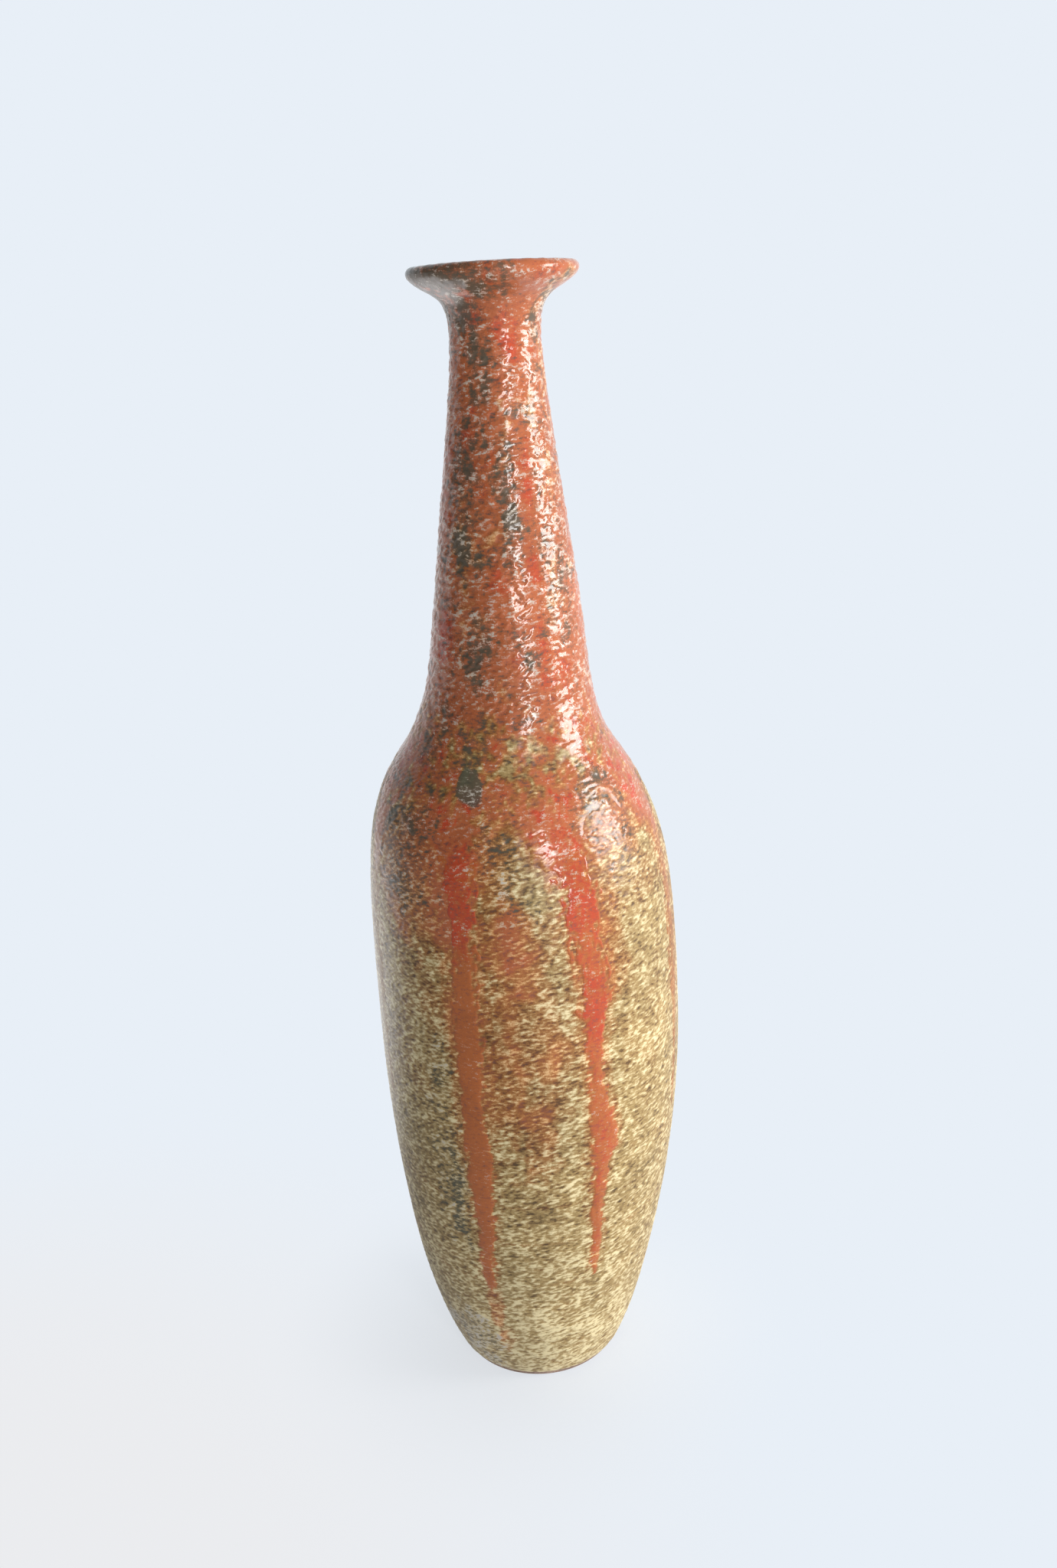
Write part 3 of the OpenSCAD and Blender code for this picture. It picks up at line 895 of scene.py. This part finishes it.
class VASE_OT_clay(bpy.types.Operator):
    """Thrown body with its turned foot, thrown neck and the slip between them"""

    bl_idname = "vase.clay"
    bl_label = "Clay"

    def execute(self, context):
        form, glaze, wall = pot(context)
        bare = clay_material("bare_clay", glaze.clay)
        slip = clay_material("luting_slip", tuple(0.8 * c for c in glaze.clay))
        low_out = np.linspace(0, wall.outside_at(form.joint_low), BODY_ROWS_OUT)
        low_in = np.linspace(wall.inside_at(form.joint_low), wall.end, BODY_ROWS_IN)
        outer, inner = (np.stack(wall.at(a)[:2], 1) for a in (low_out, low_in))
        ring = form.foot_d / 2 - form.ring_w
        foot = np.array([
            [ring * 0.3, form.recess_h * 1.15], [ring * 0.7, form.recess_h * 1.05],
            [ring - form.recess_h, form.recess_h], [ring - 0.4 * MM, 0.6 * MM],
            [ring + 0.3 * MM, 0.0], [form.foot_d / 2 - 0.5 * MM, 0.0],
            [form.foot_d / 2, 0.35 * MM]])
        # From the ring to the glaze line the bare clay shows faint turning marks
        step = np.linspace(0, 1, 9)[1:-1, None]
        edge = foot[-1] + (outer[0] - foot[-1]) * step
        edge[:, 0] += 0.12 * MM * np.sin(np.arange(len(edge)) * 2.4)
        section = np.concatenate([foot, edge, outer, inner[:-1]])
        body = turned_piece("thrown_body", form, section, bare, BODY_COLUMNS,
                            form.recess_h * 1.18, form.floor_z)
        place(body, "bare_clay", "clay_body")
        bands = (("thrown_neck", form.joint_high, None, bare, "bare_clay", "clay_neck"),
                 ("luting_ring", form.joint_low, form.joint_high, slip, "slip", "slip_joint"))
        for name, low, high, material, slot_name, node in bands:
            if high is None:
                along = np.linspace(wall.outside_at(low), wall.inside_at(low), NECK_ROWS)
            else:
                along = np.concatenate([
                    np.linspace(wall.outside_at(low), wall.outside_at(high), SLIP_ROWS),
                    np.linspace(wall.inside_at(high), wall.inside_at(low), SLIP_ROWS)])
            section = np.stack(wall.at(along)[:2], 1)
            piece = turned_piece(name, form, section, material, NECK_COLUMNS)
            place(piece, slot_name, node)
        return {"FINISHED"}


class VASE_OT_liner(bpy.types.Operator):
    """Glaze poured inside, from the top of the lip to the floor"""

    bl_idname = "vase.liner"
    bl_label = "Liner glaze"

    def execute(self, context):
        form, glaze, wall = pot(context)
        along = np.linspace(wall.crest, wall.end - POLE_GAP, LINER_ROWS)
        phi, fields = glazed_grid(form, glaze, wall, along, LINER_COLUMNS)
        fields["orange"] = fields["orange"] * 0.25
        fields["dark"] = np.maximum(fields["dark"], 0.35)
        depth = glaze.liner_t - 0.12 * MM * (1 - fields["height"])
        outer = skin_grid(form, wall, along, phi, depth)
        way_back = np.linspace(wall.end - POLE_GAP, wall.crest, LINER_BACK_ROWS)
        back = skin_grid(form, wall, way_back, phi, np.zeros((LINER_BACK_ROWS, 1)))
        # The floor is closed by a pole under the liner and one on its top
        poles = [axis_point(form, form.floor_z + up) for up in (0.0, glaze.liner_t)]
        grid = np.concatenate([back, outer])
        kept = shader_fields(fields, head=LINER_BACK_ROWS)
        material = glaze_material("liner_glaze", glaze, 0.10 * MM)
        piece = surface("liner_skin", grid, material, wrap=False, poles=poles, fields=kept)
        place(piece, "liner_glaze", "liner_glaze")
        return {"FINISHED"}


def ring_depth(glaze, fields):
    """Throwing rings, which lie a little deeper than the skin that they are in."""
    return glaze.ring * (fields["ring"] - 0.4)


def base_depth(glaze, fields):
    """The base glaze is full thickness on its crests and thinner in its pits."""
    return glaze.base_t - glaze.relief * (1 - fields["height"]) + ring_depth(glaze, fields)


class VASE_OT_base_glaze(bpy.types.Operator):
    """Wrinkled base glaze on the outside, in bands that meet edge to edge"""

    bl_idname = "vase.base_glaze"
    bl_label = "Base glaze"

    def execute(self, context):
        form, glaze, wall = pot(context)
        material = glaze_material("base_glaze", glaze, 0.06 * MM)
        top = wall.outside_at(glaze.coat_z + BASE_OVERLAP)
        along = np.linspace(0.0, top, BASE_ROWS)
        phi, fields = glazed_grid(form, glaze, wall, along, COLUMNS)
        bead = np.clip(along[:, None] / (1.6 * MM), 0, 1)
        depth = base_depth(glaze, fields) * (0.25 + 0.75 * np.sqrt(1 - (1 - bead) ** 2))
        pieces = banded_skin(BASE_BANDS, form, wall, material, along, phi, depth, 0.0, fields)
        # Under the poured glaze nothing of it shows, so a coarser band is enough
        along = np.linspace(top, wall.crest, HIDDEN_ROWS)
        phi, fields = glazed_grid(form, glaze, wall, along, HIDDEN_COLUMNS)
        depth = base_depth(glaze, fields) - 0.05 * MM
        pieces += banded_skin({"base_glaze_neck": HIDDEN_ROWS}, form, wall, material, along,
                              phi, depth, 0.0, fields)
        for piece in pieces:
            place(piece, "base_glaze", "base_glaze")
        return {"FINISHED"}


def cover_depth(glaze, fields, cover, thickness):
    """A glaze on top of the base: where its cover is 0 it lies under the base's pits,
    where it is 1 it stands its thickness above the crests, less its own soft relief."""
    sunk = glaze.base_t - glaze.relief - SUNK
    full = glaze.base_t + thickness - glaze.pebble * (1 - fields["height"])
    return sunk + (full - sunk) * cover + ring_depth(glaze, fields)


class VASE_OT_orange_coat(bpy.types.Operator):
    """Poured glaze over shoulder, neck and lip, and a little way into the mouth"""

    bl_idname = "vase.orange_coat"
    bl_label = "Poured glaze"

    def execute(self, context):
        form, glaze, wall = pot(context)
        material = glaze_material("poured_glaze", glaze, 0.03 * MM)
        low = wall.outside_at(glaze.coat_z - COAT_OVERLAP)
        wrap = wall.inside_at(form.top_z - glaze.coat_wrap)
        along = np.linspace(low, wrap, COAT_ROWS)
        phi, fields = glazed_grid(form, glaze, wall, along, COLUMNS)
        cover = smoothstep(0.0, 0.55, fields["cover"])
        cover = cover * smoothstep(0.0, 2.5 * MM, wrap - along)[:, None]
        depth = cover_depth(glaze, fields, cover, glaze.coat_t * 0.6)
        for piece in banded_skin(COAT_BANDS, form, wall, material, along, phi, depth,
                                 COAT_FLOOR, fields):
            place(piece, "orange_glaze", "orange_coat")
        return {"FINISHED"}


def run_piece(name, form, glaze, wall, material):
    """Run as a flat tube: rows go up it from its tip, and each row goes round it, across
    the outside from left to right and back underneath. Its skin is wider than the glaze
    that shows, and sinks into the base glaze at its rim."""
    course = run_course(name)
    tip, top = course[0, 0] * MM, glaze.coat_z + RUN_OVERLAP
    rows = int((top - tip) / RUN_STEP)
    heights = np.linspace(tip - 0.6 * MM, top, rows)
    centre = np.radians(smooth_curve(heights / MM, course[:, 0], course[:, 1]))
    half = smooth_curve(heights / MM, course[:, 0], course[:, 2]) + 3.2
    fade = smoothstep(-0.2, 3.0, (heights - heights[0]) / MM)
    half = (half * np.sqrt(np.maximum(fade, 0.02)))[:, None] * MM
    across = np.concatenate([
        np.linspace(-1, 1, RUN_COLUMNS), np.linspace(1, -1, RUN_BACK_COLUMNS)[1:-1]])
    along = wall.outside_at(heights)
    r, z, nr, nz = (a[:, None] for a in wall.at(along))
    radius = r + nr * glaze.base_t + 0 * across[None, :]
    height = z + nz * glaze.base_t + 0 * across[None, :]
    phi = centre[:, None] + across[None, :] * half / radius
    points = thrown(form, radius, height, phi)
    fields = glaze_fields(form, glaze, phi, height, radius, points)
    inside = fields["run"]
    bulge = smoothstep(-1.4, 1.8, inside) * (0.75 + 0.25 * smoothstep(0.0, 4.0, inside))
    bulge = bulge * smoothstep(top, top - 9 * MM, height)
    bulge = bulge * smoothstep(1.0, 0.82, np.abs(across))[None, :]
    thick = glaze.run_t * np.minimum(fields["strength"], 1.0)
    thick = thick * (1.0 - 0.5 * smoothstep(180.0, 212.0, height / MM))
    depth = cover_depth(glaze, fields, bulge, thick)
    under = (np.arange(len(across)) >= RUN_COLUMNS)[None, :]
    depth = np.where(under, glaze.base_t - glaze.relief - RUN_SUNK, depth)
    grid = thrown(form, r + nr * depth, z + nz * depth, phi)
    poles = (grid[0].mean(0), grid[-1].mean(0))
    kept = shader_fields(fields)
    piece = surface("glaze_" + name, grid, material, wrap=False, poles=poles, fields=kept)
    place(piece, "orange_glaze", name)


class VASE_OT_runs(bpy.types.Operator):
    """Runs of the poured glaze down the body"""

    bl_idname = "vase.runs"
    bl_label = "Glaze runs"

    def execute(self, context):
        form, glaze, wall = pot(context)
        material = glaze_material("run_glaze", glaze, 0.07 * MM, glaze.run_orange)
        for name in RUN_NODES:
            run_piece(name, form, glaze, wall, material)
        return {"FINISHED"}


# Half the floor's side, and where the windows are and face, in metres
FLOOR_HALF = 4.0
WINDOW_HEIGHT = 0.48
LIGHT_AIM = Vector((0.0, 0.0, 0.22))


class VaseStage(bpy.types.PropertyGroup):
    """Camera and light of the studio."""

    distance: length("Camera distance", "From the axis, along the floor", 490.9 * MM)
    height: length("Camera height", "Above the floor", 421.5 * MM)
    pitch: angle("Pitch", "How far the camera looks down", 21.36)
    roll: angle("Roll", "Turn of the picture", -2.47)
    yaw: angle("Yaw", "Turn of the camera to the right", 0.52)
    lens: number("Lens", "Focal length on a 36 mm tall picture", 35.16)
    backdrop: colour("Backdrop", "Pale blue of floor and room", 0.807, 0.863, 0.930)
    paper: colour("Paper", "Near white of the floor round the pot", 0.832, 0.840, 0.862)
    shadow: number("Shadow", "Share of the floor's brightness that takes a shadow", 0.30)
    bounce: number("Bounce", "Light that the floor sends up to the pot", 0.36)
    bounce_right: number("Bounce, right", "How much more it sends from the right", 0.60)
    room_left: number("Room, left", "Light from the left of the room", 0.10)
    room_right: number("Room, right", "Light from the right of the room", 0.62)
    room_back: number("Room, back", "Light from behind the pot", 1.10)
    room_far_left: number(
        "Room, far left", "How much less comes from behind on the far left", 0.35)
    floor_left: number(
        "Floor, left", "How much more the floor sends from behind on the left", 1.85)
    right_power: number("Right window", "Power of the window on the right", 13.5)
    front_power: number("Front window", "Power of the narrow window in front", 8.3)


def stage_material(stage):
    """Pale paper: its own even glow, as in a light tent, in the colour of the room and a
    little whiter in front on the left. Close to the pot a share of it is diffuse
    reflection instead, which takes the soft shadow. The pot is lit by it less from the
    front, more from the right, and most from behind, where the left is brightest."""
    material, tree, shader, where = new_material("backdrop_paper")
    tooth = grain(tree, where, 700.0, 3.0)
    shade = tuple(stage.shadow * c for c in stage.paper)
    tone = blend(tree, ease(tree, tooth, -0.3, 0.3), (*(0.97 * c for c in shade), 1.0),
                 (*shade, 1.0))
    tree.links.new(tone, shader.inputs["Base Color"])
    shader.inputs["Roughness"].default_value = 1.0
    shader.inputs["Specular IOR Level"].default_value = 0.0
    patch = put(tree, "ShaderNodeMapping", Vector=where, Location=(0.22, 0.15, 0.0))
    reach = put(tree, "ShaderNodeVectorMath", {"operation": "LENGTH"}, i0=patch.outputs[0])
    away = ease(tree, reach.outputs["Value"], 0.10, 0.34)
    glow = blend(tree, away, (*stage.paper, 1.0), (*stage.backdrop, 1.0))
    far = put(tree, "ShaderNodeEmission", Color=glow)
    near = put(tree, "ShaderNodeEmission", Color=glow, Strength=1.0 - 0.8 * stage.shadow)
    close = put(tree, "ShaderNodeAddShader", i0=shader.outputs[0], i1=near.outputs[0])
    reach = put(tree, "ShaderNodeVectorMath", {"operation": "LENGTH"}, i0=where)
    away = ease(tree, reach.outputs["Value"], 0.035, 0.11)
    seen = put(tree, "ShaderNodeMixShader", i0=away, i1=close.outputs[0], i2=far.outputs[0])
    x, y = put(tree, "ShaderNodeSeparateXYZ", i0=where).outputs[:2]
    bounce = mad(tree, ease(tree, x, -0.20, 0.25), stage.bounce_right,
                  stage.bounce)
    left = ease(tree, x, -0.03, -0.25)
    left = calc(tree, "MULTIPLY", left, ease(tree, reach.outputs["Value"], 0.8, 0.35))
    back = mad(tree, left, stage.floor_left, stage.room_back)
    gap = calc(tree, "SUBTRACT", back, bounce)
    bounce = mad(tree, ease(tree, y, 0.02, 0.20), gap, bounce)
    felt = put(tree, "ShaderNodeEmission", Color=(*stage.paper, 1.0), Strength=bounce)
    ray = tree.nodes.new("ShaderNodeLightPath").outputs["Is Camera Ray"]
    both = put(tree, "ShaderNodeMixShader", i0=ray, i1=felt.outputs[0], i2=seen.outputs[0])
    tree.links.new(both.outputs[0], tree.nodes["Material Output"].inputs["Surface"])
    return material


def room_world(stage):
    """Room all round: the camera sees the backdrop's even colour, and the pot is lit by
    a room that is dim on its left, brighter to the right and brightest behind the pot,
    where the backdrop hangs, with less from behind on the far left."""
    world = bpy.data.worlds.new("room")
    world.use_nodes = True
    tree = world.node_tree
    sky = tree.nodes["Background"]
    ray = tree.nodes.new("ShaderNodeLightPath").outputs["Is Camera Ray"]
    way = tree.nodes.new("ShaderNodeTexCoord").outputs["Generated"]
    side, behind = put(tree, "ShaderNodeSeparateXYZ", i0=way).outputs[:2]
    back = mad(tree, ease(tree, side, -0.1, -0.6), -stage.room_far_left,
                stage.room_back)
    side = ease(tree, side, -0.6, 0.9)
    behind = ease(tree, behind, 0.05, 0.60)
    felt = mad(tree, side, stage.room_right - stage.room_left, stage.room_left)
    gap = calc(tree, "SUBTRACT", back, felt)
    felt = mad(tree, behind, gap, felt)
    gap = calc(tree, "SUBTRACT", 1.0, felt)
    strength = mad(tree, ray, gap, felt)
    tone = blend(tree, ray, (0.86, 0.94, 1.0, 1.0), (*stage.backdrop, 1.0))
    tree.links.new(tone, sky.inputs["Color"])
    tree.links.new(strength, sky.inputs["Strength"])
    return world


def area_light(name, azimuth, distance, size, power, tint):
    """Soft light at an azimuth from the front towards +X, facing the pot."""
    lamp = bpy.data.lights.new(name, "AREA")
    lamp.shape = "RECTANGLE"
    lamp.size, lamp.size_y = size
    lamp.energy = power
    lamp.color = tint
    light = bpy.data.objects.new(name, lamp)
    a = np.radians(azimuth)
    spot = Vector((distance * np.sin(a), -distance * np.cos(a), WINDOW_HEIGHT))
    aim = LIGHT_AIM - spot
    light.location = spot
    light.rotation_euler = aim.to_track_quat("-Z", "Y").to_euler()
    bpy.context.scene.collection.objects.link(light)


class VASE_OT_stage(bpy.types.Operator):
    """Floor, room light, two soft windows and the camera"""

    bl_idname = "vase.stage"
    bl_label = "Stage"

    def execute(self, context):
        stage = context.scene.vase_stage
        side = np.array([[-1, -1], [1, -1], [1, 1], [-1, 1]]) * FLOOR_HALF
        mesh = bpy.data.meshes.new("floor")
        mesh.from_pydata([(x, y, 0.0) for x, y in side], [], [(0, 1, 2, 3)])
        mesh.materials.append(stage_material(stage))
        floor = bpy.data.objects.new("floor", mesh)
        context.scene.collection.objects.link(floor)
        context.scene.world = room_world(stage)
        area_light("window_right", azimuth=80, distance=1.3, size=(0.48, 0.60),
                   power=stage.right_power, tint=(1.0, 0.97, 0.95))
        area_light("window_front", azimuth=24, distance=1.5, size=(0.24, 0.60),
                   power=stage.front_power, tint=(1.0, 0.98, 0.97))
        self.camera(context, stage)
        context.scene.view_settings.view_transform = "Standard"
        return {"FINISHED"}

    @staticmethod
    def camera(context, stage):
        """The camera looks along its forward axis, which is turned by the yaw and tipped
        by the pitch, and its right and up axes are then turned by the roll."""
        ahead = Vector((np.sin(stage.yaw), np.cos(stage.yaw), 0.0))
        right = Vector((np.cos(stage.yaw), -np.sin(stage.yaw), 0.0))
        down = Vector((0.0, 0.0, -1.0))
        forward = ahead * np.cos(stage.pitch) + down * np.sin(stage.pitch)
        up = ahead * np.sin(stage.pitch) - down * np.cos(stage.pitch)
        x_axis = right * np.cos(stage.roll) + up * np.sin(stage.roll)
        y_axis = up * np.cos(stage.roll) - right * np.sin(stage.roll)
        turn = Matrix((x_axis, y_axis, -forward)).transposed().to_4x4()
        data = bpy.data.cameras.new("camera")
        data.lens = stage.lens
        data.sensor_width = 36.0
        data.clip_start = 0.01
        camera = bpy.data.objects.new("camera", data)
        camera.matrix_world = Matrix.Translation((0.0, -stage.distance, stage.height)) @ turn
        context.scene.collection.objects.link(camera)
        context.scene.camera = camera


class VASE_PT_panel(bpy.types.Panel):
    """Sizes and steps of the vase"""

    bl_idname = "VASE_PT_panel"
    bl_label = "Vase"
    bl_space_type = "VIEW_3D"
    bl_region_type = "UI"
    bl_category = "Vase"

    def draw(self, context):
        for step in STEPS:
            self.layout.operator(step.bl_idname)
        for group in (context.scene.vase_form, context.scene.vase_glaze):
            box = self.layout.box()
            for key in group.__annotations__:
                box.prop(group, key)


STEPS = (VASE_OT_clay, VASE_OT_liner, VASE_OT_base_glaze, VASE_OT_orange_coat,
         VASE_OT_runs, VASE_OT_stage)
GROUPS = {"vase_form": VaseForm, "vase_glaze": VaseGlaze, "vase_stage": VaseStage}


def register():
    """Register the classes and hang the sizes on the scene."""
    for cls in (*GROUPS.values(), *STEPS, VASE_PT_panel):
        bpy.utils.register_class(cls)
    for key, cls in GROUPS.items():
        setattr(bpy.types.Scene, key, PointerProperty(type=cls))


def unregister():
    """Undo register."""
    for key in GROUPS:
        delattr(bpy.types.Scene, key)
    for cls in reversed((*GROUPS.values(), *STEPS, VASE_PT_panel)):
        bpy.utils.unregister_class(cls)


def main():
    """Build everything, one operator at a time."""
    register()
    bpy.ops.vase.stage()
    bpy.ops.vase.clay()
    bpy.ops.vase.liner()
    bpy.ops.vase.base_glaze()
    bpy.ops.vase.orange_coat()
    bpy.ops.vase.runs()


if __name__ == "__main__":
    main()
